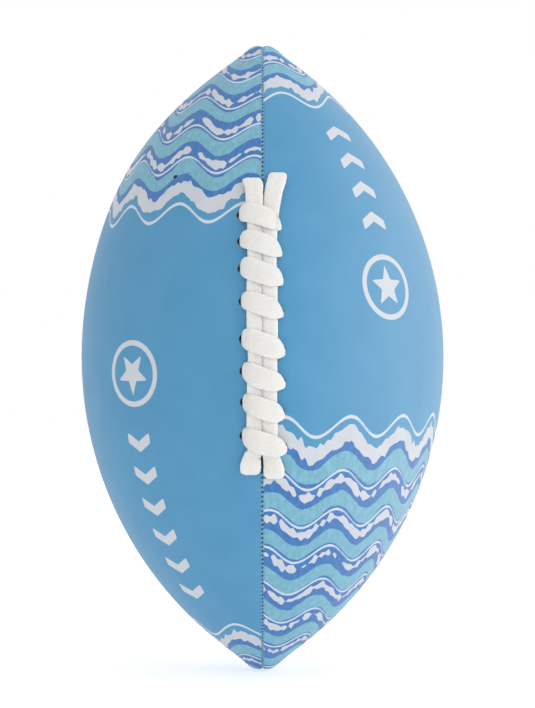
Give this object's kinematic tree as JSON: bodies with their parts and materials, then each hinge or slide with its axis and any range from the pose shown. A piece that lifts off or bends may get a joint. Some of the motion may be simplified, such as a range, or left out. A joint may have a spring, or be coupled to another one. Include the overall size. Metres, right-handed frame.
{
  "type": "laced beach football",
  "caption": "Pointed lace-up beach ball: laminated neoprene panels with a wave print, sewn round a rubber bladder with a needle valve.",
  "frame": {"origin": "centre of the ball, on its long axis, midway between the tips", "axes": "+Z along the long axis, towards the tip nearer the lacing; the lacing faces -Y; +X is to the right of the lacing"},
  "size_m": [0.154, 0.1589, 0.265],
  "materials": {
    "printed_jersey": "matte knitted polyester with a sublimated wave print",
    "neoprene_foam": "closed-cell foam",
    "woven_lining": "plain weave",
    "seam_thread": "waxed polyester thread",
    "cotton_lace": "tubular woven cotton",
    "facing_cloth": "bonded webbing",
    "guard_cloth": "coated cloth",
    "bladder_rubber": "smooth",
    "patch_rubber": "satin",
    "valve_rubber": "satin",
    "plug_rubber": "satin"
  },
  "bodies": {
    "root": {"face_front_left": "printed_jersey", "face_front_right": "printed_jersey", "face_back_left": "printed_jersey", "face_back_right": "printed_jersey", "foam_front_left": "neoprene_foam", "foam_front_right": "neoprene_foam", "foam_back_left": "neoprene_foam", "foam_back_right": "neoprene_foam", "lining_front_left": "woven_lining", "lining_front_right": "woven_lining", "lining_back_left": "woven_lining", "lining_back_right": "woven_lining", "seam_thread_front_upper": "seam_thread", "seam_thread_front_lower": "seam_thread", "seam_thread_back": "seam_thread", "seam_thread_left": "seam_thread", "seam_thread_right": "seam_thread", "lace": "cotton_lace", "lace_facing_left": "facing_cloth", "lace_facing_right": "facing_cloth", "bladder_guard": "guard_cloth", "bladder": "bladder_rubber", "valve_patch": "patch_rubber", "valve_body": "valve_rubber", "valve_plug": "plug_rubber"}
  },
  "joints": []
}
